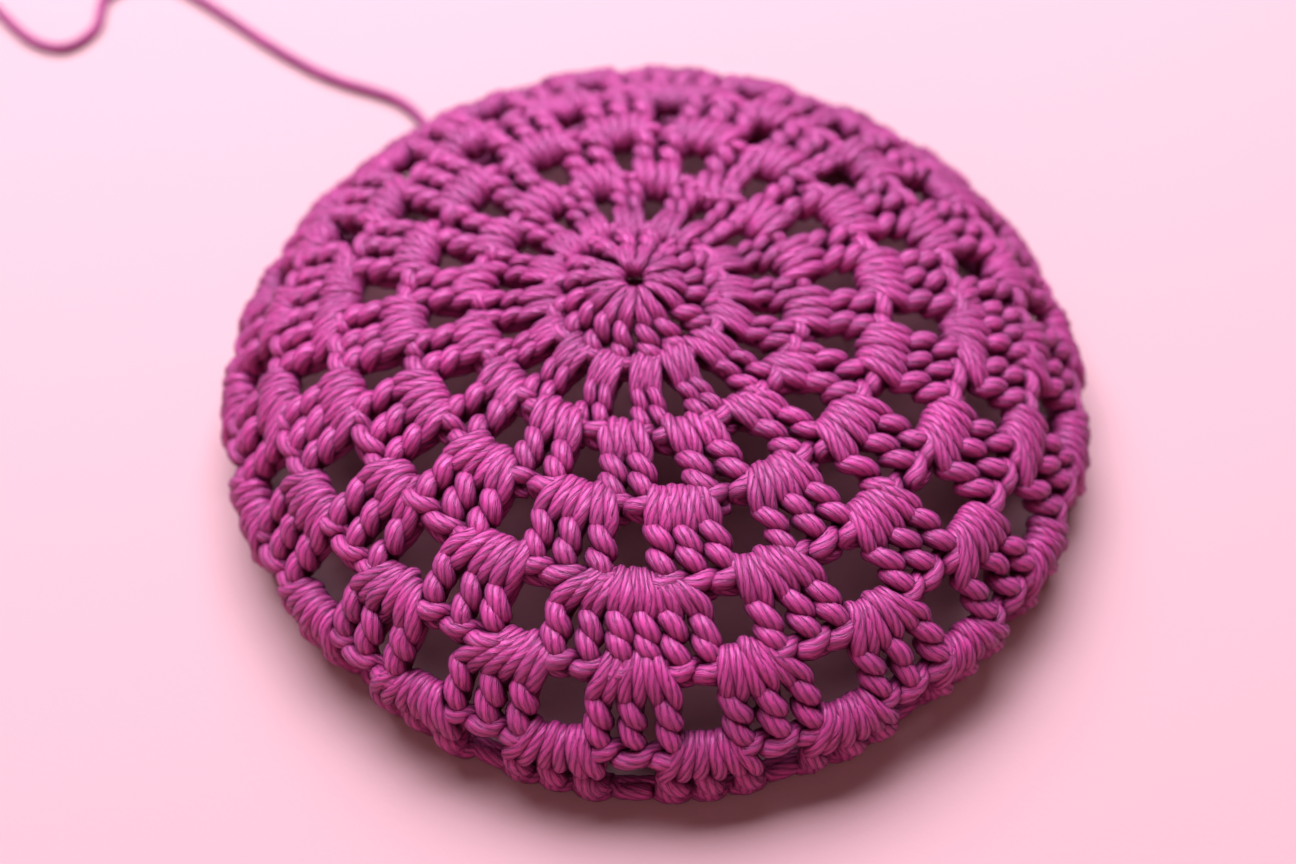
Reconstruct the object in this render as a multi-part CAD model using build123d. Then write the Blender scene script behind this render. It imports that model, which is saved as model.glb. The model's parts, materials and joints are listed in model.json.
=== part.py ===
from build123d import *
import math
import os

# A crocheted openwork cap, lying crown up on a table with its working yarn still attached.
# The cap is seven rounds of treble-like stitches. Each round is a ring of posts standing in the
# spaces of the round before, closed by a top chain. Lengths are in millimetres.
# Origin: centre of the rim's resting face. +Z is up. The front of the cap faces -Y.
# Azimuths are in degrees, 0 at the front and growing towards +X.

# Yarn and stitch sizes
yarn_radius = 1.05
chain_radius = 1.9
post_head_radius = 1.95
post_foot_radius = 1.45
post_foot_pitch = 1.9
round_gap = 0.4
stitch_gap = 0.1

# Where each round's top chain runs: radius from the cap's axis and height above the table
centre_ring_radius = 2.9
centre_ring_height = 35.6
round_1_chain = (15.0, 31.4)
round_2_chain = (28.4, 30.3)
round_3_chain = (41.7, 30.1)
round_4_chain = (54.9, 27.6)
round_5_chain = (67.2, 22.3)
round_6_chain = (77.0, 13.1)
edge_chain = (80.2, 1.7)

# Round 1: single posts fanned tightly about the centre ring
round_1_posts = 16
round_1_azimuth = 11.25
round_1_foot_radius = 0.85
round_1_foot = (4.9, 34.9)

# Rounds 2 to 7: number of clusters, posts in a cluster, azimuth of one cluster, width of a hole
round_2_layout = (16, 2, 3.8, 3.0)
round_3_layout = (16, 2, 18.2, 4.5)
round_4_layout = (16, 3, 7.0, 5.0)
round_5_layout = (12, 3, 21.2, 5.0)
round_6_layout = (20, 3, 356.2, 5.5)
round_7_layout = (20, 3, 4.9, 5.0)

# Round 5 also has four double clusters, a quarter turn apart, each between two spaces
corner_count = 4
corner_posts = 6
corner_azimuth = 356.2
clusters_per_corner = 3
cluster_step_in_quarter = 20.0

# Round 7 hangs straight down outside round 6, so that round 6 can be pressed down inside it
rim_post_line = 81.15
rim_post_radius = 1.75
rim_post_top = 10.6
rim_post_bottom = 5.45
rim_foot_pitch = 3.6
table_size = 400

# The first post of each round is a start chain of three links, near this seam azimuth
seam_azimuth = 154.0
start_chain_links = 3
start_chain_radius = 1.5
start_chain_waist = 0.7
start_chain_lean = 1.5

# Beginning yarn end, woven under round 1 inside the cap
start_tail_radius = 9.5
start_tail_height = 30.2
start_tail_from = 100.0
start_tail_to = 250.0

# Working loop and working yarn, leaving the rim at the back left
working_loop_azimuth = 211.9
working_loop_line = 82.4
working_loop_height = 6.3
working_loop_major = 1.6
working_loop_minor = 0.9
yarn_exit_azimuth = 214.0
yarn_exit_line = 86.5
yarn_bend_gap = 1.4
yarn_near_points = [(-56.5, 82.2), (-72.5, 89.7)]
yarn_bend_point = (-85.5, 98.8)
yarn_far_points = [
    (-106.5, 116.6),
    (-117.5, 122.8),
    (-126.9, 116.6),
    (-127.5, 106.2),
    (-133.0, 99.8),
    (-141.5, 102.4),
    (-152.5, 113.8),
]


def on_cap(radius, height, azimuth=0.0):
    """Point at a radius, height and azimuth of the cap."""
    turn = math.radians(azimuth)
    return Vector(radius * math.sin(turn), -radius * math.cos(turn), height)


def tapered_post(foot, head, foot_size, head_size):
    """Round-ended post from foot to head, thicker towards its head."""
    axis = head - foot
    length = axis.length
    outline = make_face(
        Polyline((0, -foot_size), (0, length + head_size))
        + ThreePointArc(
            (0, length + head_size),
            (head_size * math.sin(math.pi / 4), length + head_size * math.cos(math.pi / 4)),
            (head_size, length),
        )
        + Line((head_size, length), (foot_size, 0))
        + ThreePointArc(
            (foot_size, 0),
            (foot_size * math.sin(math.pi / 4), -foot_size * math.cos(math.pi / 4)),
            (0, -foot_size),
        )
    )
    upright = revolve(Plane.XZ * outline, Axis.Z)
    return Plane(origin=foot, z_dir=axis) * upright


def meridian_between(inner, outer, radius):
    """Height of the straight line from inner to outer, each (radius, height), at a radius."""
    share = (radius - inner[0]) / (outer[0] - inner[0])
    return inner[1] + share * (outer[1] - inner[1])


def head_pitch(chain_line, posts_in_round, holes_in_round, hole_width):
    """Spacing of the post heads along the top chain, with every hole hole_width wide."""
    return (2 * math.pi * chain_line - holes_in_round * hole_width) / posts_in_round


def head_point(inner, outer):
    """Radius and height of a post's head, just short of its top chain."""
    span = math.dist(inner, outer)
    share = 1 - (chain_radius + stitch_gap + post_head_radius) / span
    line = inner[0] + (outer[0] - inner[0]) * share
    return line, meridian_between(inner, outer, line)


def foot_point(inner, outer):
    """Radius and height of a post's foot, clear of the round before."""
    line = inner[0] + chain_radius + round_gap + post_foot_radius
    return line, meridian_between(inner, outer, line)


def post_ends(inner, outer, posts, index, pitch):
    """Foot and head of one post of a cluster centred on the front."""
    place = index - (posts - 1) / 2
    foot_line, foot_height = foot_point(inner, outer)
    head_line, head_height = head_point(inner, outer)
    foot_turn = math.degrees(place * post_foot_pitch / foot_line)
    head_turn = math.degrees(place * pitch / outer[0])
    foot = on_cap(foot_line, foot_height, foot_turn)
    head = on_cap(head_line, head_height, head_turn)
    return foot, head


def cluster(inner, outer, posts, pitch, skip_first=False):
    """Posts fanning out of one space, centred on the front; the first may be left out."""
    fan = None
    for index in range(1 if skip_first else 0, posts):
        foot, head = post_ends(inner, outer, posts, index, pitch)
        post = tapered_post(foot, head, post_foot_radius, post_head_radius)
        fan = post if fan is None else fan + post
    return fan


def start_chain(foot, head, foot_size, head_size):
    """Column of chain links from foot to head that stands for the first post of a round."""
    length = (head - foot).length
    link = length / start_chain_links
    outline = Line((0, 0), (start_chain_waist * foot_size, 0))
    for index in range(start_chain_links):
        size = foot_size + (head_size - foot_size) * (index + 0.5) / start_chain_links
        below = outline @ 1
        above = (start_chain_waist * size, link * (index + 1))
        outline = outline + ThreePointArc(below, (size, link * (index + 0.5)), above)
    outline = outline + Line(outline @ 1, (0, length)) + Line((0, length), (0, 0))
    column = revolve(Plane.XZ * make_face(outline), Axis.Z)
    return Plane(origin=foot, z_dir=head - foot) * column


def nearest_to_seam(azimuths):
    """The azimuth of the list that lies closest to the seam."""
    return min(azimuths, key=lambda azimuth: abs((azimuth - seam_azimuth + 180) % 360 - 180))


def turned(shape, azimuth):
    """The shape turned about the cap's axis."""
    return Rot(0, 0, azimuth) * shape


def solids_of(shapes):
    """One compound of all the solids in the shapes."""
    return Compound(children=[solid for shape in shapes for solid in shape.solids()])


def save(shape, node):
    """Write one node."""
    shape.label = node
    export_step(shape, "parts/" + node + ".step")


def save_chain(line, node):
    """Top chain: a closed ring of stitch tops."""
    save(Pos(0, 0, line[1]) * Torus(line[0], chain_radius), node)


def leaned(foot, line):
    """The foot of a start chain, moved along its round to stand clear of the next post."""
    return foot.rotate(Axis.Z, -math.degrees(start_chain_lean / line))


def save_cluster_round(number, inner, outer, azimuths, posts, pitch):
    """Clusters of one round, and the start chain in place of its first post."""
    seam = nearest_to_seam(azimuths)
    whole = cluster(inner, outer, posts, pitch)
    with_gap = cluster(inner, outer, posts, pitch, skip_first=True)
    shapes = [turned(with_gap if azimuth == seam else whole, azimuth) for azimuth in azimuths]
    save(solids_of(shapes), f"round_{number}_clusters")
    foot, head = post_ends(inner, outer, posts, 0, pitch)
    column = start_chain(leaned(foot, inner[0]), head, start_chain_radius, start_chain_radius)
    save(turned(column, seam), f"round_{number}_start_chain")


def even_azimuths(layout):
    """Azimuths of evenly spaced clusters."""
    count, _, first, _ = layout
    return [(first + 360 / count * index) % 360 for index in range(count)]


def round_1():
    """Centre ring, the first ring of posts, its start chain and the beginning yarn end."""
    save(Pos(0, 0, centre_ring_height) * Torus(centre_ring_radius, yarn_radius), "centre_ring")
    foot = on_cap(*round_1_foot)
    head = on_cap(*head_point(round_1_foot, round_1_chain))
    post = tapered_post(foot, head, round_1_foot_radius, post_head_radius)
    azimuths = [round_1_azimuth + 360 / round_1_posts * index for index in range(round_1_posts)]
    seam = nearest_to_seam(azimuths)
    others = [turned(post, azimuth) for azimuth in azimuths if azimuth != seam]
    save(solids_of(others), "round_1_stitches")
    column = start_chain(foot, head, round_1_foot_radius, start_chain_radius)
    save(turned(column, seam), "round_1_start_chain")
    save_chain(round_1_chain, "round_1_top_chain")
    middle = (start_tail_from + start_tail_to) / 2
    path = ThreePointArc(
        on_cap(start_tail_radius, start_tail_height, start_tail_from),
        on_cap(start_tail_radius, start_tail_height, middle),
        on_cap(start_tail_radius, start_tail_height, start_tail_to),
    )
    save(strand(path), "start_tail")


def strand(path):
    """Plain yarn along a path."""
    section = Plane(origin=path @ 0, z_dir=path % 0) * Circle(yarn_radius)
    return sweep(section, path=path)


def even_round(number, inner, outer, layout):
    """A round whose clusters are all alike and evenly spaced."""
    count, posts, _, hole_width = layout
    pitch = head_pitch(outer[0], count * posts, count, hole_width)
    save_cluster_round(number, inner, outer, even_azimuths(layout), posts, pitch)
    save_chain(outer, f"round_{number}_top_chain")


def round_5():
    """Twelve plain clusters in four groups, with a double cluster between the groups."""
    count, posts, first, hole_width = round_5_layout
    holes = count + corner_count
    posts_in_round = count * posts + corner_count * corner_posts
    pitch = head_pitch(round_5_chain[0], posts_in_round, holes, hole_width)
    azimuths = []
    for quarter in range(corner_count):
        for step in range(clusters_per_corner):
            azimuths.append(first + 90 * quarter + cluster_step_in_quarter * step)
    save_cluster_round(5, round_4_chain, round_5_chain, azimuths, posts, pitch)
    corner = cluster(round_4_chain, round_5_chain, corner_posts, pitch)
    corners = [turned(corner, corner_azimuth + 90 * quarter) for quarter in range(corner_count)]
    save(solids_of(corners), "round_5_corner_clusters")
    save_chain(round_5_chain, "round_5_top_chain")


def rim_post_ends(posts, index, pitch):
    """Foot and head of a rim post: it hangs from round 6 down to the edge chain."""
    place = index - (posts - 1) / 2
    foot_turn = math.degrees(place * rim_foot_pitch / rim_post_line)
    head_turn = math.degrees(place * pitch / rim_post_line)
    foot = on_cap(rim_post_line, rim_post_top, foot_turn)
    head = on_cap(rim_post_line, rim_post_bottom, head_turn)
    return foot, head


def round_7():
    """Rim: short clusters hanging outside round 6, closed by the edge chain that rests."""
    count, posts, _, hole_width = round_7_layout
    pitch = head_pitch(rim_post_line, count * posts, count, hole_width)
    azimuths = even_azimuths(round_7_layout)
    seam = nearest_to_seam(azimuths)
    shapes = []
    for azimuth in azimuths:
        for index in range(1 if azimuth == seam else 0, posts):
            ends = rim_post_ends(posts, index, pitch)
            shapes.append(turned(tapered_post(*ends, rim_post_radius, rim_post_radius), azimuth))
    save(solids_of(shapes), "round_7_clusters")
    foot, head = rim_post_ends(posts, 0, pitch)
    column = start_chain(foot, head, start_chain_radius, start_chain_radius)
    save(turned(column, seam), "round_7_start_chain")
    ring = Pos(0, 0, edge_chain[1]) * Torus(edge_chain[0], chain_radius)
    table = Pos(0, 0, -chain_radius) * Box(table_size, table_size, 2 * chain_radius)
    save(ring - table, "round_7_edge_chain")
    loop_place = Plane(
        origin=on_cap(working_loop_line, working_loop_height, working_loop_azimuth),
        z_dir=on_cap(1, 0, working_loop_azimuth + 90),
    )
    save(loop_place * Torus(working_loop_major, working_loop_minor), "working_loop")


def working_yarn():
    """Working yarn on the table, in a near and a far length that swing and bend."""
    start = on_cap(yarn_exit_line, yarn_radius, yarn_exit_azimuth)
    bend = Vector(*yarn_bend_point, yarn_radius)
    near = [Vector(x, y, yarn_radius) for x, y in yarn_near_points]
    far = [Vector(x, y, yarn_radius) for x, y in yarn_far_points]
    whole = Spline(start, *near, bend, *far).edge()
    bend_share = whole.param_at_point(bend)
    gap_share = yarn_bend_gap / whole.length
    save(strand(whole.trim(0, bend_share - gap_share)), "working_yarn_near")
    save(strand(whole.trim(bend_share, 1)), "working_yarn_far")


os.makedirs("parts", exist_ok=True)
round_1()
even_round(2, round_1_chain, round_2_chain, round_2_layout)
even_round(3, round_2_chain, round_3_chain, round_3_layout)
even_round(4, round_3_chain, round_4_chain, round_4_layout)
round_5()
even_round(6, round_5_chain, round_6_chain, round_6_layout)
round_7()
working_yarn()
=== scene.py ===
import json
import math
from collections import namedtuple

import bpy
import numpy as np
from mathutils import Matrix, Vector


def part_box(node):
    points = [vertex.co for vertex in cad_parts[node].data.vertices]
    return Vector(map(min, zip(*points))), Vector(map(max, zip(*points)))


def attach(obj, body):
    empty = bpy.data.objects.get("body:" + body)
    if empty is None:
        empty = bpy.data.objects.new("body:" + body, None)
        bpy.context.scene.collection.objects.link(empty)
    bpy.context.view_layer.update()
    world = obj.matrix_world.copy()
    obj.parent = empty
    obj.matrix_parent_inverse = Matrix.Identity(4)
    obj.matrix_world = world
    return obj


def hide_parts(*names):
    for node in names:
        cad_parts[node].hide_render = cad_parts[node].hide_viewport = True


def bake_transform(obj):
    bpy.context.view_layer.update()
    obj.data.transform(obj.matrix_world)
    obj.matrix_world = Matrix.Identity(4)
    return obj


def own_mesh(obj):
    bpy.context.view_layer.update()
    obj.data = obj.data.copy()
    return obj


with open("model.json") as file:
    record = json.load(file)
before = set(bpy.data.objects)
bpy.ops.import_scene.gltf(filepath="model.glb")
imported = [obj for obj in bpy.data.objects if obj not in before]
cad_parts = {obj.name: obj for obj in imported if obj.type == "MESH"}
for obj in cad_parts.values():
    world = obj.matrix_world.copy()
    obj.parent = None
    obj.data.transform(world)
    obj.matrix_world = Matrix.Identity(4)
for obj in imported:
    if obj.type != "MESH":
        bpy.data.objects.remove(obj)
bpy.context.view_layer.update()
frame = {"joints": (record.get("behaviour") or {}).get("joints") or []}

# A crocheted openwork cap. Every round is worked here stitch by stitch as one swept yarn, around
# the posts and top chains of the frame. Lengths are in millimetres until a mesh is made.
# Azimuths are 0 at the front and grow towards +X.
MM = 0.001
LAST_ROUND = 7


def chain_node(number):
    """Name of the CAD node that a round's chain stands for."""
    return "round_7_edge_chain" if number == LAST_ROUND else f"round_{number}_top_chain"


def chain_ring(number):
    """Radius and height of the middle of a round's chain; all are as thick as round 6's."""
    low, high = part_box(chain_node(number))
    tube_low, tube_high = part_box("round_6_top_chain")
    tube = (tube_high[2] - tube_low[2]) / 2
    return (high[0] - tube) / MM, (high[2] - tube) / MM


def joint_named(name):
    return next(joint for joint in frame["joints"] if joint["name"] == name)


# ---------------------------------------------------------------- sizes
# The yarn: radius when loose, plies, and the length in which the plies turn once. The sweep has a
# ridge and a groove for each ply, whose reaches are shares of the radius, and a ring each step.
tail_low, tail_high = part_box("working_yarn_far")
YARN = (tail_high[2] - tail_low[2]) / 2 / MM
PLIES = 8
SIDES = 2 * PLIES
RIDGE, GROOVE = 1.02, 0.94
PLY_TURN = 21.0
RING_STEP = 0.7
SPANS = 5

# The cap: the depth of a round along the fabric, the radius where round 1 starts, and how far the
# crown leans to the left and back
ROW = 13.4
CENTRE = 3.0
CROWN_LEAN = (-5.0, 1.2)

# How the fabric lies: flattened stitches, a rim tucked under most between the four soft corners
# of round 5, and a dome that is a little short at the back right
FLAT = 0.8
CORNER = math.radians(-3.8)
TUCK_LEAST, TUCK_MOST = 1.0, 3.8
SHORT_SIDE = math.radians(140)
SHORT = 0.05

# The fabric's middle surface, radius and height: crown, chains of rounds 1 to 6, rim
CHAINS = [chain_ring(number) for number in range(1, LAST_ROUND)]
PROFILE = [(0.0, 36.3), (CENTRE, 35.7), (9.0, 33.6)] + CHAINS + [(80.3, 6.4), (79.5, 1.4)]
PROFILE_SPANS = 24

rng = np.random.default_rng(7)


# ---------------------------------------------------------------- curve helpers
def smooth(t):
    """Ease from 0 to 1."""
    t = np.clip(t, 0.0, 1.0)
    return t * t * (3 - 2 * t)


def ease(value, first, last):
    """0 up to a first value, 1 from a last one, and smooth between."""
    return smooth((value - first) / (last - first))


def spline(points, per_span):
    """Catmull-Rom curve through points, per_span samples to each span."""
    points = np.asarray(points, float)
    padded = np.vstack([2 * points[:1] - points[1:2], points, 2 * points[-1:] - points[-2:-1]])
    before, start, end, after = padded[:-3], padded[1:-2], padded[2:-1], padded[3:]
    t = (np.arange(per_span) / per_span)[None, :, None]
    before, start, end, after = (p[:, None, :] for p in (before, start, end, after))
    curve = 0.5 * (
        2 * start
        + (end - before) * t
        + (2 * before - 5 * start + 4 * end - after) * t**2
        + (3 * start - before - 3 * end + after) * t**3
    )
    return np.vstack([curve.reshape(-1, points.shape[1]), points[-1:]])


def lengths_along(points):
    """Length of a path from its start to each of its points."""
    steps = np.linalg.norm(np.diff(points, axis=0), axis=1)
    return np.concatenate([[0.0], np.cumsum(steps)])


class Profile:
    """The cap's meridian, by arc length from the pole."""

    def __init__(self, points):
        self.line = spline(points, PROFILE_SPANS)
        self.length = lengths_along(self.line)
        slope = np.gradient(self.line, self.length, axis=0)
        slope /= np.linalg.norm(slope, axis=1)[:, None]
        self.normal = np.stack([-slope[:, 1], slope[:, 0]], axis=1)
        self.end = self.length[-1]
        self.at_rim = self.at_radius(CHAINS[-1][0])

    def at_radius(self, radius):
        """Arc length at which the meridian first reaches a radius."""
        index = int(np.argmax(self.line[:, 0] >= radius))
        return float(self.length[index])

    def radius(self, along):
        return np.interp(along, self.length, self.line[:, 0])

    def place(self, azimuth, along, out):
        """Points in the row frame for azimuth (radians), arc length and height off the fabric."""
        height = np.interp(along, self.length, self.line[:, 1])
        tilt_r = np.interp(along, self.length, self.normal[:, 0])
        tilt_z = np.interp(along, self.length, self.normal[:, 1])
        radius = self.radius(along) + out * tilt_r
        height = height + out * tilt_z
        rim_share = ease(along, self.at_rim, self.end)
        between = (1 - np.cos(4 * (azimuth - CORNER))) / 2
        radius = radius - rim_share * (TUCK_LEAST + (TUCK_MOST - TUCK_LEAST) * between)
        facing = (1 + np.cos(azimuth - SHORT_SIDE)) / 2
        radius = radius * (1 - SHORT * facing**1.5 * along / self.end)
        lean = 1 - smooth(along / self.end)
        x = radius * np.sin(azimuth) + CROWN_LEAN[0] * lean
        y = -radius * np.cos(azimuth) + CROWN_LEAN[1] * lean
        return np.stack([x, y, height], axis=1)


profile = Profile(PROFILE)
round_radii = [CENTRE] + [radius for radius, height in CHAINS]
round_lengths = [profile.at_radius(radius) for radius in round_radii] + [profile.end]


# ---------------------------------------------------------------- yarn sweep
def ply_section():
    """Angle and reach of the yarn's outline: a ridge on each ply and a groove between plies."""
    side = np.arange(SIDES)
    return 2 * np.pi * side / SIDES, np.where(side % 2 == 0, RIDGE, GROOVE)


def frames(points):
    """Two normals at each point of a path, carried along without twist."""
    tangent = np.gradient(points, axis=0)
    tangent /= np.linalg.norm(tangent, axis=1)[:, None] + 1e-12
    normal = np.zeros_like(points)
    current = np.array([0.0, 0.0, 1.0])
    if abs(tangent[0] @ current) > 0.9:
        current = np.array([1.0, 0.0, 0.0])
    for index in range(len(points)):
        current = current - tangent[index] * (tangent[index] @ current)
        current = current / math.sqrt(current @ current)
        normal[index] = current
    return normal, np.cross(tangent, normal)


class Strand:
    """A yarn path with a radius and a label at each control point."""

    def __init__(self):
        self.points = []
        self.radii = []
        self.labels = []

    def add(self, point, radius, label):
        self.points.append(point)
        self.radii.append(radius)
        self.labels.append(label)


def sweep(points, radii, labels):
    """Rings of vertices along the path, and each ring's length and label."""
    samples = spline(np.column_stack([points, radii]), SPANS)
    label_at = np.minimum(np.arange(len(samples)) // SPANS, len(labels) - 1)
    path, thickness = samples[:, :3], samples[:, 3]
    length = lengths_along(path)
    count = max(4, int(length[-1] / RING_STEP))
    at = np.linspace(0, length[-1], count)
    path = np.stack([np.interp(at, length, path[:, k]) for k in range(3)], axis=1)
    thickness = np.interp(at, length, thickness)
    names = np.array(labels)[label_at][np.searchsorted(length, at).clip(0, len(samples) - 1)]
    normal, side = frames(path)
    angle, reach = ply_section()
    turn = angle[None, :] + 2 * np.pi * at[:, None] / PLY_TURN
    ring = (
        np.cos(turn)[..., None] * normal[:, None, :] + np.sin(turn)[..., None] * side[:, None, :]
    ) * (reach[None, :, None] * thickness[:, None, None])
    return path[:, None, :] + ring, at, names


def split_runs(rings, at, names):
    """Cuts swept rings where the label changes; neighbours share the ring at the cut."""
    cuts = [0] + [k for k in range(1, len(names)) if names[k] != names[k - 1]] + [len(names) - 1]
    runs = {}
    for first, last in zip(cuts[:-1], cuts[1:]):
        if last > first:
            run = (rings[first:last + 1], at[first:last + 1])
            runs.setdefault(names[first], []).append(run)
    return runs


# ---------------------------------------------------------------- meshes
def quad_corners(low, high, left, right):
    """Coordinates of each quad's corners, in the order in which its vertices are listed."""
    return np.stack(
        [np.stack([low, left], -1), np.stack([low, right], -1),
         np.stack([high, right], -1), np.stack([high, left], -1)], axis=2).reshape(-1, 2)


def quad_faces(first_vertex, index, side):
    """Vertex numbers of the quads between neighbouring rings."""
    a = first_vertex + index * SIDES + side
    b = first_vertex + index * SIDES + (side + 1) % SIDES
    return np.stack([a, b, b + SIDES, a + SIDES], axis=-1).reshape(-1, 4)


def cap_faces(runs):
    """Vertex numbers of the cut ends of each run."""
    caps = []
    first = 0
    for rings, _ in runs:
        last = first + (len(rings) - 1) * SIDES
        caps.append([first + k for k in reversed(range(SIDES))])
        caps.append([last + k for k in range(SIDES)])
        first += len(rings) * SIDES
    return caps


def fill_mesh(mesh, verts, quads, caps):
    """Vertices and faces: quads between rings, then the caps."""
    mesh.vertices.add(len(verts))
    mesh.vertices.foreach_set("co", verts.ravel())
    loops = np.concatenate([quads.ravel(), np.array(caps).ravel()]).astype(np.int32)
    sizes = np.concatenate([np.full(len(quads), 4), np.full(len(caps), SIDES)]).astype(np.int32)
    starts = np.concatenate([[0], np.cumsum(sizes)[:-1]]).astype(np.int32)
    mesh.loops.add(len(loops))
    mesh.loops.foreach_set("vertex_index", loops)
    mesh.polygons.add(len(sizes))
    mesh.polygons.foreach_set("loop_start", starts)
    mesh.polygons.foreach_set("loop_total", sizes)


def add_uv(mesh, name, corners, caps):
    """A layer of face-corner coordinates; the caps get none of their own."""
    layer = mesh.uv_layers.new(name=name)
    pad = np.zeros((len(caps) * SIDES, 2))
    layer.data.foreach_set("uv", np.vstack(corners + [pad]).astype(np.float32).ravel())


def mesh_from(name, runs):
    """A closed mesh of yarn from runs of rings, with coordinates for the yarn and for baking.

    Yarn coordinates are millimetres along and sides around. Bake coordinates lay the rings side
    by side in rows, with a little room between rows.
    """
    verts, quads, yarn_uv, bake_uv = [], [], [], []
    total = sum(len(rings) for rings, _ in runs)
    rows = max(1, int(math.sqrt(total / SIDES / 2)))
    per_row = math.ceil(total / rows)
    row_room = 0.04
    done = 0
    for rings, at in runs:
        verts.append(rings.reshape(-1, 3))
        index = np.arange(len(rings) - 1)[:, None]
        side = np.arange(SIDES)[None, :]
        no_index, no_side = 0 * index, 0 * side
        quads.append(quad_faces(done * SIDES, index, side))
        low, high = at[:-1][:, None] + no_side, at[1:][:, None] + no_side
        yarn_uv.append(quad_corners(low, high, side + no_index, side + 1 + no_index))
        row = (done + index) // per_row
        column = (done + index) % per_row
        v0 = (row + row_room + (1 - 2 * row_room) * side / SIDES) / rows
        v1 = (row + row_room + (1 - 2 * row_room) * (side + 1) / SIDES) / rows
        u0, u1 = column / per_row + no_side, (column + 1) / per_row + no_side
        bake_uv.append(quad_corners(u0, u1, v0, v1))
        done += len(rings)
    caps = cap_faces(runs)
    mesh = bpy.data.meshes.new(name)
    fill_mesh(mesh, np.vstack(verts) * MM, np.vstack(quads), caps)
    add_uv(mesh, "Yarn", yarn_uv, caps)
    add_uv(mesh, "OFBake", bake_uv, caps)
    mesh.update(calc_edges=True)
    mesh.validate()
    mesh.shade_smooth()
    piece = bpy.data.objects.new(name, mesh)
    bpy.context.scene.collection.objects.link(piece)
    return piece


def plain_strand(name, points, radius=YARN):
    rings, at, _ = sweep(points, [radius] * len(points), [name] * len(points))
    return mesh_from(name, [(rings, at)])


# ---------------------------------------------------------------- stitches
# A post stitch standing in a space, in its own coordinates: x along the round in stitch widths,
# y outward from the previous round's chain, z off the fabric, and thickness as a share of the
# yarn's. Two legs go over the chain, two wraps of the post follow, then the V of loops on top.
BACK = [
    (0.05, 12.4, -1.3, 0.9), (0.1, 9.4, -1.7, 0.95), (0.2, 4.8, -2.0, 1.0), (0.25, 1.2, -2.3, 1.0),
]
LEG = [
    (0.25, -0.9, -1.7, 1.0), (0.25, -1.8, -0.3, 1.05), (0.25, -1.4, 1.3, 1.1), (0.25, 0.2, 2.2, 1.2),
    (0.26, 2.3, 2.4, 1.25), (0.24, 4.3, 1.8, 1.2), (0.16, 6.0, 0.6, 1.0),
]
LEG_TURN = [(0.0, 7.1, 0.2, 0.95)]
OTHER_LEG = [(-x, y, z, size) for x, y, z, size in reversed(LEG)] + [(-0.25, 1.2, -2.3, 1.0)]
WRAP_LOW = [
    (0.0, 4.4, -1.7, 1.0), (-0.22, 4.7, -0.5, 1.15), (-0.19, 5.7, 1.1, 1.4), (-0.01, 7.2, 1.95, 1.5),
    (0.18, 8.6, 1.3, 1.4), (0.22, 9.3, -0.1, 1.15), (0.12, 9.3, -1.5, 1.0),
]
WRAP_HIGH = [
    (-0.1, 9.2, -1.6, 1.0), (-0.22, 9.0, -0.3, 1.15), (-0.18, 9.8, 1.0, 1.4),
    (-0.01, 11.2, 1.8, 1.5), (0.17, 12.4, 1.2, 1.35), (0.2, 13.1, -0.1, 1.1),
]
TOP = [
    (0.45, 15.5, -1.1, 0.95), (0.05, 15.7, -0.7, 1.1), (-0.36, 15.1, 0.0, 1.1),
    (-0.4, 14.6, 1.1, 1.3), (-0.05, 14.4, 1.6, 1.45), (0.33, 13.5, 1.4, 1.35),
    (0.55, 12.9, 0.2, 1.0),
]

# A cluster fans out from its feet to its heads between these y's. Nearer the pole than POLE, its
# stitches get no narrower.
FAN_FROM, FAN_TO = -2.0, 6.0
POLE = 2.0

# Worked yarn is fuller than loose yarn, but leaves room for the strand beside it
FULLNESS = 1.13
ROOM = 0.4

# Round 1 crowds into the centre ring: where its stitches' y goes, its least strand radius, how
# much its legs narrow, thin out and, every other one, rise up to a y, and how flat its feet lie
ROUND_1_FROM = [-3.0, 0.0, 7.0, 13.0, 15.0]
ROUND_1_TO = [-0.9, 0.0, 7.6, 13.0, 15.0]
ROUND_1_LEAST = 1.05
ROUND_1_NARROW = 0.65
ROUND_1_THIN = 0.12
ROUND_1_LIFT = 0.7
ROUND_1_CROWDED = (3.0, 8.0)
ROUND_1_FLAT = 0.5
ROUND_1_FLAT_TO = 7.0

# How far hand work strays, as standard deviations: a head along the round and off the fabric, a
# stitch's thickness and width as shares, its legs and wraps along it and the wraps' slant, each
# point of the yarn, the loops on top, a link off the fabric, and a cluster's foot, head and spread
HEAD_ALONG, HEAD_OFF = 0.35, 0.2
THICKNESS_SHARE, WIDTH_SHARE = 0.04, 0.07
PART_ALONG, PART_LEAN = 0.35, 0.15
POINT_ACROSS, POINT_ALONG = 0.02, 0.15
TOP_ALONG, TOP_LEAN = 0.2, 0.08
LINK_OFF = 0.12
CLUSTER_FOOT, CLUSTER_HEAD, CLUSTER_SPREAD = 0.4, 0.3, 0.06

Stray = namedtuple("Stray", "along off thickness width lift")
NO_STRAY = Stray(0.0, 0.0, 1.0, 1.0, 0.0)


def moved(points, along, lean):
    """Stitch points shifted along the stitch and widened or narrowed."""
    return [(x * lean, y + along, z, size) for x, y, z, size in points]


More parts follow.
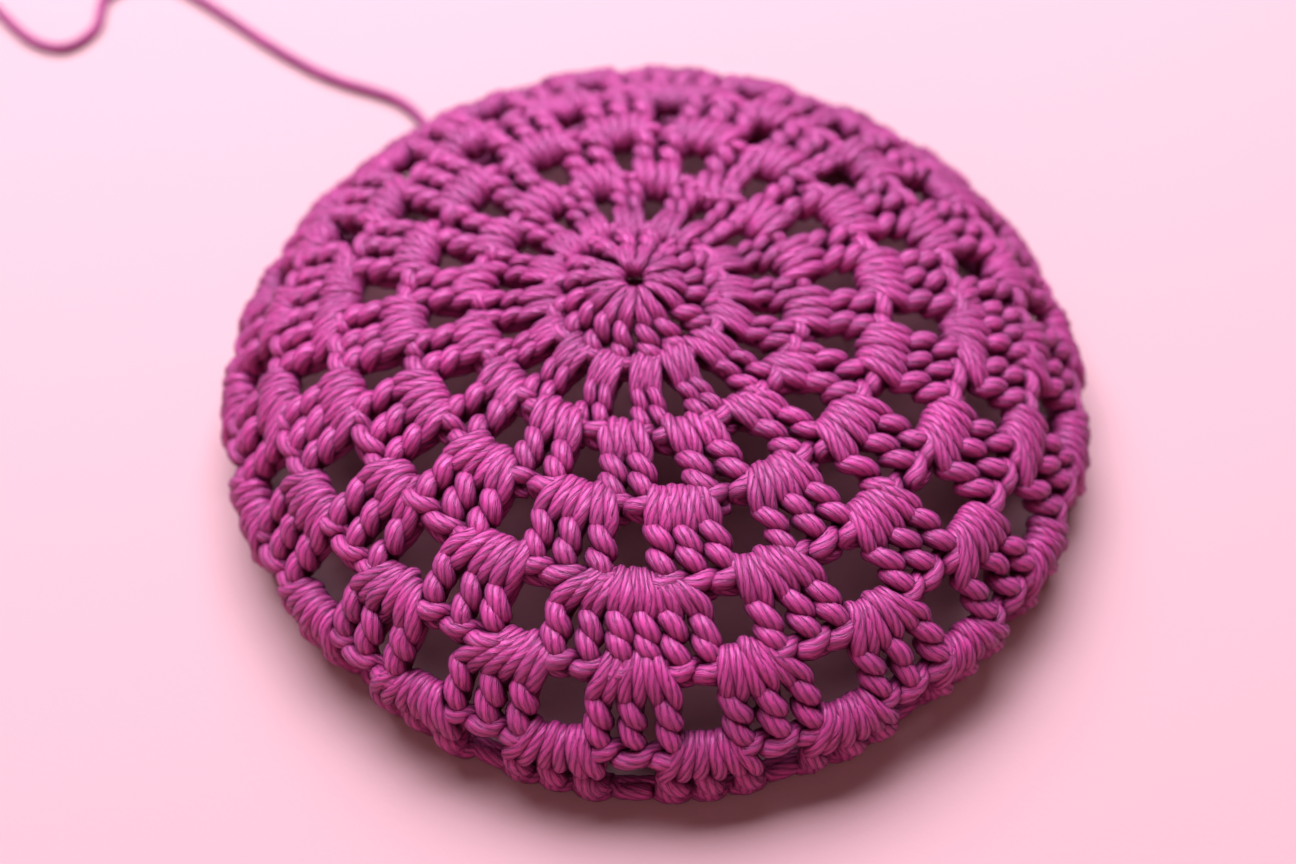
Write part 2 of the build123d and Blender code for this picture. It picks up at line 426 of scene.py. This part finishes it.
class Round:
    """One round of clusters between two chains, each a foot, a head, a count and a label."""

    def __init__(self, number, clusters, foot_pitch, head_pitch):
        self.number = number
        self.clusters = clusters
        self.foot_pitch = foot_pitch
        self.head_pitch = head_pitch
        self.inner = round_lengths[number - 1]
        self.outer = round_lengths[number]
        self.scale = (self.outer - self.inner) / ROW
        self.strand = Strand()
        self.worked = 0
        self.inner_radius = profile.radius(self.inner)
        self.outer_radius = profile.radius(self.outer)

    def put(self, foot, head, local, label, stray, pitches):
        """Adds points given about a stitch whose foot and head are azimuths (radians)."""
        x, y, z, size = np.asarray(local, float).T
        full, least = FULLNESS, 0.0
        if self.number == 1:
            full, least = 1.0, ROUND_1_LEAST
            y = np.interp(y, ROUND_1_FROM, ROUND_1_TO)
            near = 1 - ease(y, *ROUND_1_CROWDED)
            x = x * (1 - ROUND_1_NARROW * near)
            size = size * (1 - ROUND_1_THIN * near)
            rise = ease(y, 0.0, ROUND_1_FLAT_TO)
            z = z * (ROUND_1_FLAT + (1 - ROUND_1_FLAT) * rise) + stray.lift * near
        along = np.clip(self.inner + y * self.scale, 0, profile.end)
        share = ease(y, FAN_FROM, FAN_TO)
        radius = np.maximum(profile.radius(along), POLE)
        foot_turn = pitches[0] / self.inner_radius
        head_turn = pitches[1] / self.outer_radius
        turn = foot_turn + (head_turn - foot_turn) * share
        azimuth = foot + (head - foot) * share + x * turn * stray.width
        azimuth = azimuth + stray.along * share / radius
        most = np.maximum(ROOM * full * radius * turn, least)
        size = np.minimum(size * YARN * full * stray.thickness, most)
        placed = profile.place(azimuth, along, FLAT * z + stray.off)
        for point, thickness in zip(placed, size):
            self.strand.add(point, thickness, label)

    def post(self, foot, head, label, pitches):
        """A whole post stitch with the V of loops on its head."""
        self.worked += 1
        stray = Stray(
            rng.normal(0, HEAD_ALONG), rng.normal(0, HEAD_OFF), 1 + rng.normal(0, THICKNESS_SHARE),
            1 + rng.normal(0, WIDTH_SHARE), ROUND_1_LIFT * (self.worked % 2),
        )
        low, high, leg = rng.normal(0, PART_ALONG, 3)
        lean = 1 + rng.normal(0, PART_LEAN)
        parts = (
            BACK + moved(LEG, leg, 1) + LEG_TURN + moved(OTHER_LEG, -0.5 * leg, 1)
            + moved(WRAP_LOW, low, lean) + moved(WRAP_HIGH, high, lean)
        )
        body = [
            (x + rng.normal(0, POINT_ACROSS), y + rng.normal(0, POINT_ALONG), z, size)
            for x, y, z, size in parts
        ]
        self.put(foot, head, body, label, stray, pitches)
        self.top(head, stray, pitches)

    def top(self, head, stray, pitches):
        """The V of loops on top of a stitch: apex behind, opening towards the next stitch."""
        loops = moved(TOP, rng.normal(0, TOP_ALONG), 1 + rng.normal(0, TOP_LEAN))
        self.put(head, head, loops, "chain", stray, pitches)

    def link(self, head, hole, pitches):
        """The single chain stitch that bridges a hole, from the head of a cluster's last post."""
        reach = hole / pitches[1]
        loops = [
            (0.5 + 0.2 * reach, 13.3, 0.9, 1.2), (0.5 + 0.8 * reach, 13.1, 0.8, 1.3),
            (0.6 + reach, 13.8, 0.3, 1.2), (0.5 + 0.8 * reach, 14.7, 0.75, 1.3),
            (0.5 + 0.25 * reach, 14.7, 0.7, 1.2), (0.45, 14.1, -0.3, 1.0),
            (0.5 + 0.3 * reach, 13.6, -0.95, 1.0), (0.5 + 0.8 * reach, 13.6, -1.0, 1.0),
        ]
        stray = NO_STRAY._replace(off=rng.normal(0, LINK_OFF))
        self.put(head, head, loops, "chain", stray, pitches)

    def start_column(self, foot, head, pitches):
        """Three chain links standing in for the first post."""
        rise = (ROW - 1.0) / 3
        for link in range(3):
            low = 0.4 + rise * link
            loops = [
                (0.0, low, -0.7, 1.0), (-0.18, low + 0.3 * rise, 0.6, 1.05),
                (-0.18, low + 0.85 * rise, 1.3, 1.15), (0.0, low + 1.15 * rise, 1.1, 1.1),
                (0.18, low + 0.85 * rise, 1.3, 1.15), (0.18, low + 0.3 * rise, 0.8, 1.05),
                (0.02, low + 0.1 * rise, -0.1, 1.0), (0.0, low + 0.6 * rise, -1.2, 1.0),
            ]
            self.put(foot, head, loops, "start", NO_STRAY, pitches)

    def pitches_of(self, label):
        """Spacing of a cluster's feet and heads; double clusters crowd into one space."""
        return CORNER_PITCHES if label == "corner" else (self.foot_pitch, self.head_pitch)

    def work(self):
        """Works the whole round as one yarn path and returns its runs by label."""
        for order, (foot, head, posts, label) in enumerate(self.clusters):
            following = self.clusters[(order + 1) % len(self.clusters)]
            pitches = self.pitches_of(label)
            half_span = (posts - 1) / 2
            next_reach = following[2] / 2 * self.pitches_of(following[3])[1]
            gap = (following[1] - head) % (2 * math.pi) * self.outer_radius
            hole = gap - posts / 2 * pitches[1] - next_reach
            foot = foot + rng.normal(0, CLUSTER_FOOT) / self.inner_radius
            head = head + rng.normal(0, CLUSTER_HEAD) / self.outer_radius
            spread = 1 + rng.normal(0, CLUSTER_SPREAD)
            for index in range(posts):
                place = index - half_span
                post_foot = foot + place * spread * pitches[0] / self.inner_radius
                post_head = head + place * pitches[1] / self.outer_radius
                if order == 0 and index == 0:
                    self.start_column(post_foot, post_head, pitches)
                    self.top(post_head, NO_STRAY, pitches)
                else:
                    self.post(post_foot, post_head, label, pitches)
            if hole > LEAST_HOLE:
                last = head + half_span * pitches[1] / self.outer_radius
                self.link(last, hole, pitches)
        strand = self.strand
        return split_runs(*sweep(strand.points, strand.radii, strand.labels))


# ---------------------------------------------------------------- layout of the rounds
# The seam, at the back right, is where each round starts. A round's pitches are the spacings of
# the feet and of the heads within a cluster. A hole narrower than LEAST_HOLE gets no link.
SEAM = 150
LEAST_HOLE = 0.8
CORNER_PITCHES = (1.8, 5.0)
ROUND_1_POSTS = 16
ROUND_1_FOOT = 2 * math.pi * CENTRE / ROUND_1_POSTS
ROUND_1_HEAD = 2 * math.pi * CHAINS[0][0] / ROUND_1_POSTS


def even(count, foot_first, head_first, posts):
    """Evenly spaced clusters that start at the seam."""
    step = 360 / count
    near_seam = round((SEAM - head_first) / step)
    order = [near_seam + k for k in range(count)]
    return [
        (math.radians(foot_first + step * k), math.radians(head_first + step * k), posts, "posts")
        for k in order
    ]


def quarters(places, before_seam):
    """Clusters given for the front right quarter, repeated all round, from the seam on."""
    clusters = [
        (math.radians(foot + 90 * quarter), math.radians(head + 90 * quarter), posts, label)
        for quarter in range(4) for foot, head, posts, label in places
    ]
    return clusters[before_seam:] + clusters[:before_seam]


# Round 5 has three plain clusters in each quarter, then a double one in a single space. Round 6
# has clusters in round 5's holes and in the middle of its double clusters.
ROUND_5 = [(18.2, 21.2, 3, "posts"), (40.7, 41.2, 3, "posts"), (63.2, 61.2, 3, "posts"),
           (85.7, 86.2, 6, "corner")]
ROUND_6 = [(11.2, 13.6, 3, "posts"), (31.2, 31.7, 3, "posts"), (51.2, 50.0, 3, "posts"),
           (71.2, 68.3, 3, "posts"), (86.2, 86.2, 3, "posts")]
rounds = [
    Round(1, even(ROUND_1_POSTS, 11.25, 11.25, 1), ROUND_1_FOOT, ROUND_1_HEAD),
    Round(2, even(16, 5.0, 3.8, 2), 2.5, 3.4),
    Round(3, even(16, 15.1, 18.2, 2), 4.1, 5.8),
    Round(4, even(16, 7.0, 7.0, 3), 3.1, 5.6),
    Round(5, quarters(ROUND_5, before_seam=6), 3.3, 5.5),
    Round(6, quarters(ROUND_6, before_seam=8), 2.8, 5.9),
    Round(LAST_ROUND, even(20, 4.9, 4.9, 3), 3.2, 6.2),
]


# ---------------------------------------------------------------- materials
def connect(tree, target, inputs):
    """Sets each named input to a value, or links it from the socket given."""
    for name, source in inputs.items():
        if isinstance(source, bpy.types.NodeSocket):
            tree.links.new(source, target.inputs[name])
        else:
            target.inputs[name].default_value = source


def node(tree, kind, inputs=None, **settings):
    """A new shader node with its settings and inputs."""
    made = tree.nodes.new("ShaderNode" + kind)
    for name, value in settings.items():
        setattr(made, name, value)
    connect(tree, made, inputs or {})
    return made


def math_node(tree, operation, *values):
    return node(tree, "Math", dict(enumerate(values)), operation=operation).outputs["Value"]


def remap(tree, value, old, new, interpolation="LINEAR"):
    """A value's range stretched from old to new, and kept inside it."""
    inputs = {"Value": value, "From Min": old[0], "From Max": old[1],
              "To Min": new[0], "To Max": new[1]}
    return node(tree, "MapRange", inputs, interpolation_type=interpolation).outputs["Result"]


def dimmed(tree, colour, share):
    """A colour multiplied by a share."""
    inputs = {"Factor": 1.0, "A": colour, "B": share}
    mix = node(tree, "Mix", inputs, data_type="RGBA", blend_type="MULTIPLY")
    return mix.outputs["Result"]


def new_material(name):
    """A material, its node tree and its main shader."""
    material = bpy.data.materials.new(name)
    material.use_nodes = True
    return material, material.node_tree, material.node_tree.nodes["Principled BSDF"]


def fibre_pattern(tree, yarn_uv):
    """Fine streaks along the yarn."""
    stretch = node(tree, "Mapping", {"Vector": yarn_uv, "Scale": (0.8, 2.8, 1.0)})
    inputs = {"Vector": stretch.outputs["Vector"], "Scale": 1.0, "Detail": 5.0}
    return node(tree, "TexNoise", inputs).outputs["Fac"]


def ply_pattern(tree, yarn_uv, fibre):
    """1 on the ridge of each ply and 0 between plies, made uneven by the fibres."""
    around = node(tree, "SeparateXYZ", {"Vector": yarn_uv}).outputs["Y"]
    phase = math_node(tree, "MULTIPLY", around, math.pi / 2)
    uneven = math_node(tree, "MULTIPLY_ADD", fibre, 3.2, phase)
    return math_node(tree, "ABSOLUTE", math_node(tree, "COSINE", uneven))


def yarn_colour(tree, fibre):
    """Magenta, deeper and paler by the fibre and in soft patches."""
    place = node(tree, "TexCoord").outputs["Object"]
    patch = node(tree, "TexNoise", {"Vector": place, "Scale": 140.0, "Detail": 2.0})
    blend = node(tree, "Mix", {"Factor": 0.45, "A": fibre, "B": patch.outputs["Fac"]},
                 data_type="FLOAT")
    ramp = node(tree, "ValToRGB", {"Fac": blend.outputs["Result"]})
    deep, pale = ramp.color_ramp.elements
    deep.position, pale.position = 0.34, 0.66
    deep.color = (0.33, 0.007, 0.078, 1)
    pale.color = (0.70, 0.018, 0.215, 1)
    return ramp.outputs["Color"]


def painted_crevice_edge_shade(tree):
    """Painted shade: a share, low in the crevices between strands and at a strand's edges, that
    darkens the colour there.
    """
    hollow = node(tree, "AmbientOcclusion", {"Distance": 0.003}, samples=4)
    crevice = remap(tree, hollow.outputs["AO"], (0.2, 0.85), (0.3, 1.0))
    facing = node(tree, "LayerWeight", {"Blend": 0.4}).outputs["Facing"]
    edge = remap(tree, facing, (0.15, 0.9), (1.0, 0.5))
    return math_node(tree, "MULTIPLY", crevice, edge)


def yarn_bump(tree, ply, fibre):
    """Rounded plies with fibres on them."""
    plies = node(tree, "Bump", {"Strength": 0.9, "Distance": 0.00013, "Height": ply})
    fibres = node(tree, "Bump", {"Strength": 0.8, "Distance": 0.0005, "Height": fibre,
                                 "Normal": plies.outputs["Normal"]})
    return fibres.outputs["Normal"]


def yarn_material():
    """Plied cotton with a soft sheen; painted shade darkens the colour and dulls the gloss and sheen
    in the ply grooves, in crevices and at edges.
    """
    material, tree, shader = new_material("magenta_yarn")
    yarn_uv = node(tree, "UVMap", uv_map="Yarn").outputs["UV"]
    fibre = fibre_pattern(tree, yarn_uv)
    ply = ply_pattern(tree, yarn_uv, fibre)
    # Painted shade: the colour is darker in the grooves between plies.
    groove = remap(tree, ply, (0.0, 0.7), (0.5, 1.0), "SMOOTHSTEP")
    painted_shade = painted_crevice_edge_shade(tree)
    colour = dimmed(tree, dimmed(tree, yarn_colour(tree, fibre), groove), painted_shade)
    # Painted shade also dulls the gloss and sheen in grooves, crevices and at edges.
    lit = math_node(tree, "MULTIPLY", groove, painted_shade)
    connect(tree, shader, {
        "Base Color": colour,
        "Normal": yarn_bump(tree, ply, fibre),
        "Roughness": 0.5,
        "Specular IOR Level": math_node(tree, "MULTIPLY", lit, 1.15),
        "Specular Tint": (0.85, 0.6, 0.95, 1),
        "Sheen Weight": math_node(tree, "MULTIPLY", lit, 0.55),
        "Sheen Roughness": 0.85,
        "Sheen Tint": (0.44, 0.16, 0.44, 1),
    })
    return material


# The paper's painted shade under the cap ends between these distances from the origin, in metres.
# Far away it fades into a plain backdrop, which the camera also sees above the horizon.
SHADE_FROM, SHADE_TO = 0.066, 0.08
FADE_FROM, FADE_TO = 0.5, 2.1
BACKDROP = (0.80, 0.50, 0.58, 1)


def paper_material():
    """Pale pink paper, faintly uneven, with painted shade inside the cap, dark and tinted red as if
    by the yarn.
    """
    material, tree, shader = new_material("pale_floor")
    place = node(tree, "TexCoord").outputs["Object"]
    grain = node(tree, "TexNoise", {"Vector": place, "Scale": 900.0, "Detail": 4.0})
    bump = node(tree, "Bump", {"Strength": 0.12, "Distance": 0.0003,
                               "Height": grain.outputs["Fac"]})
    away = node(tree, "VectorMath", {0: place}, operation="LENGTH").outputs["Value"]
    # Painted shade under the cap, fading out towards its rim.
    outside = remap(tree, away, (SHADE_FROM, SHADE_TO), (0.0, 1.0), "SMOOTHSTEP")
    tint = node(tree, "Mix", {"Factor": outside, "A": (0.26, 0.075, 0.095, 1),
                              "B": (0.6, 0.325, 0.33, 1)}, data_type="RGBA")
    connect(tree, shader, {
        "Base Color": tint.outputs["Result"],
        "Normal": bump.outputs["Normal"],
        "Roughness": 0.8,
        "Emission Color": BACKDROP,
        "Emission Strength": remap(tree, away, (FADE_FROM, FADE_TO), (0.0, 1.0), "SMOOTHSTEP"),
    })
    return material


yarn = yarn_material()


# ---------------------------------------------------------------- worked pieces
# The bodies that the first and last rounds move with; every other round has a body of its own
BODIES = {1: "crown", LAST_ROUND: "rim"}


def stand_for(piece, node_name):
    """Yarn finish, and the CAD node that the piece stands for."""
    piece.data.materials.append(yarn)
    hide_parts(node_name)


def finish_piece(piece, node_name, body):
    """A worked piece moves with its body."""
    stand_for(piece, node_name)
    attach(piece, body)
    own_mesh(piece)


def make_round(work):
    """A piece for each kind of element in the round."""
    number = work.number
    posts = "round_1_stitches" if number == 1 else f"round_{number}_clusters"
    names = {"posts": posts, "corner": "round_5_corner_clusters",
             "chain": chain_node(number), "start": f"round_{number}_start_chain"}
    for label, runs in work.work().items():
        piece = mesh_from("yarn_" + names[label], runs)
        finish_piece(piece, names[label], BODIES.get(number, f"round_{number}"))


def ring_points(radius, height, first, last, count, rise=0.0):
    """Points on an arc about the crown, from azimuth first to last in degrees, rising evenly."""
    turn = np.radians(np.linspace(first, last, count))
    x = radius * np.sin(turn) + CROWN_LEAN[0]
    y = -radius * np.cos(turn) + CROWN_LEAN[1]
    return np.stack([x, y, height + rise * np.linspace(0, 1, count)], axis=1)


def make_centre():
    """The starting loop, nearly two turns of yarn, and its woven-in end under the crown."""
    ring = plain_strand("yarn_centre_ring", ring_points(2.2, 32.4, 0, 700, 40, 1.0), 0.75)
    finish_piece(ring, "centre_ring", "crown")
    tail = plain_strand("yarn_start_tail", ring_points(9.5, 30.2, 100, 250, 16), 0.95)
    finish_piece(tail, "start_tail", "crown")


for work in rounds:
    make_round(work)
make_centre()


# ---------------------------------------------------------------- working yarn
# The last loop comes up through a hole of round 7 and goes over the edge chain. From it the yarn
# leaves along the table. BEND is the hinge between its near and far pieces.
LOOP_AZIMUTH = 211.9
EXIT_AZIMUTH = 214.0
EXIT_RADIUS = 84.6
LOOP_RADIUS = 0.9
BEND = np.array(joint_named("yarn_bend")["pos_m"][:2]) / MM
NEAR = np.array([(-56.5, 82.2), (-72.5, 89.7)])
FAR = np.array([(-106.5, 116.6), (-117.5, 122.8), (-126.9, 116.6), (-127.5, 106.2),
                (-133.0, 99.8), (-141.5, 102.4), (-152.5, 113.8)])


def row_point(radius, height, azimuth):
    turn = math.radians(azimuth)
    return (radius * math.sin(turn), -radius * math.cos(turn), height)


def make_loop():
    """The last live loop. A point is a radius, a height and its degrees past LOOP_AZIMUTH."""
    path = [(78.8, 1.6, -1.8), (76.6, 3.4, -1.5), (77.2, 6.6, -0.8), (79.4, 8.3, 0.0),
            (81.0, 6.9, 0.6), (80.8, 4.6, 0.8), (80.4, 2.6, 1.2), (82.2, 1.5, 1.8)]
    points = [row_point(radius, height, LOOP_AZIMUTH + turn) for radius, height, turn in path]
    points.append(row_point(84.8, 1.2, EXIT_AZIMUTH))
    finish_piece(plain_strand("yarn_working_loop", points, LOOP_RADIUS), "working_loop", "rim")


def bend_between(piece, toward):
    """Bakes a piece's placement into its mesh."""
    toward = toward / np.linalg.norm(toward)
    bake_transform(piece)


def make_working_yarn():
    """One yarn lying on the table, cut in two pieces at the last near point."""
    on_table = [(x, y, YARN) for x, y in np.vstack([NEAR, BEND, FAR])]
    points = [row_point(84.0, 1.3, EXIT_AZIMUTH), row_point(86.5, 1.05, EXIT_AZIMUTH)] + on_table
    rings, at, _ = sweep(points, [YARN] * len(points), ["yarn"] * len(points))
    middle = rings.mean(axis=1)[:, :2]
    cut = int(np.argmin(np.linalg.norm(middle - NEAR[-1], axis=1)))
    near = mesh_from("yarn_working_yarn_near", [(rings[:cut + 1], at[:cut + 1])])
    far = mesh_from("yarn_working_yarn_far", [(rings[cut:], at[cut:])])
    stand_for(near, "working_yarn_near")
    stand_for(far, "working_yarn_far")
    leaving = np.array(row_point(EXIT_RADIUS, 0, EXIT_AZIMUTH)[:2])
    bend_between(near, NEAR[0] - leaving)
    bend_between(far, FAR[0] - NEAR[-1])


make_loop()
make_working_yarn()


# ---------------------------------------------------------------- floor, light and camera, metres
FLOOR_HALF = 9.0
WINDOW = {"place": (-0.15, 0.68, 1.05), "size": (1.3, 0.9), "power": 51.0,
          "colour": (0.79, 0.83, 1.0)}
FILL = {"place": (-0.35, -0.95, 0.5), "size": (1.0, 0.5), "power": 1.8,
        "colour": (1.0, 0.66, 0.72)}
ROOM_COLOUR = (1.0, 0.66, 0.73, 1)
CAMERA_PLACE = Vector((-0.0035, -0.1917, 0.2662))
CAMERA_DOWN = 55.06
CAMERA_TURN = -0.27
LENS = 47.4
FOCUS = (0.0, -0.055, 0.026)
F_STOP = 6.3


def make_floor():
    half = FLOOR_HALF
    corners = [(-half, -half, 0), (half, -half, 0), (half, half, 0), (-half, half, 0)]
    mesh = bpy.data.meshes.new("floor")
    mesh.from_pydata(corners, [], [(0, 1, 2, 3)])
    floor = bpy.data.objects.new("floor", mesh)
    bpy.context.scene.collection.objects.link(floor)
    floor.data.materials.append(paper_material())


def area_light(name, place, size, power, colour):
    """A rectangular light that faces the origin."""
    data = bpy.data.lights.new(name, "AREA")
    data.shape = "RECTANGLE"
    data.size, data.size_y = size
    data.energy = power
    data.color = colour
    light = bpy.data.objects.new(name, data)
    light.location = place
    light.rotation_euler = (-Vector(place)).to_track_quat("-Z", "Y").to_euler()
    bpy.context.scene.collection.objects.link(light)


def make_room():
    """Soft room light, brightest near the horizon; the camera sees a plain pale backdrop."""
    world = bpy.data.worlds.new("room")
    world.use_nodes = True
    tree = world.node_tree
    direction = node(tree, "TexCoord").outputs["Generated"]
    upward = node(tree, "SeparateXYZ", {"Vector": direction}).outputs["Z"]
    room = tree.nodes["Background"]
    strength = remap(tree, upward, (0.15, 0.8), (0.4, 0.06))
    connect(tree, room, {"Color": ROOM_COLOUR, "Strength": strength})
    backdrop = node(tree, "Background", {"Color": BACKDROP})
    seen = node(tree, "MixShader", {
        "Fac": node(tree, "LightPath").outputs["Is Camera Ray"],
        1: room.outputs["Background"],
        2: backdrop.outputs["Background"],
    })
    connect(tree, tree.nodes["World Output"], {"Surface": seen.outputs["Shader"]})
    bpy.context.scene.world = world


def make_camera():
    focus = bpy.data.objects.new("focus", None)
    focus.location = FOCUS
    bpy.context.scene.collection.objects.link(focus)
    data = bpy.data.cameras.new("camera")
    data.sensor_width = 36.0
    data.lens = LENS
    data.clip_start = 0.01
    data.dof.use_dof = True
    data.dof.focus_object = focus
    data.dof.aperture_fstop = F_STOP
    camera = bpy.data.objects.new("camera", data)
    camera.location = CAMERA_PLACE
    camera.rotation_euler = (math.radians(90 - CAMERA_DOWN), 0, math.radians(CAMERA_TURN))
    bpy.context.scene.collection.objects.link(camera)
    bpy.context.scene.camera = camera


make_floor()
area_light("window", **WINDOW)
area_light("fill", **FILL)
make_room()
bpy.context.scene.view_settings.view_transform = "Standard"
make_camera()
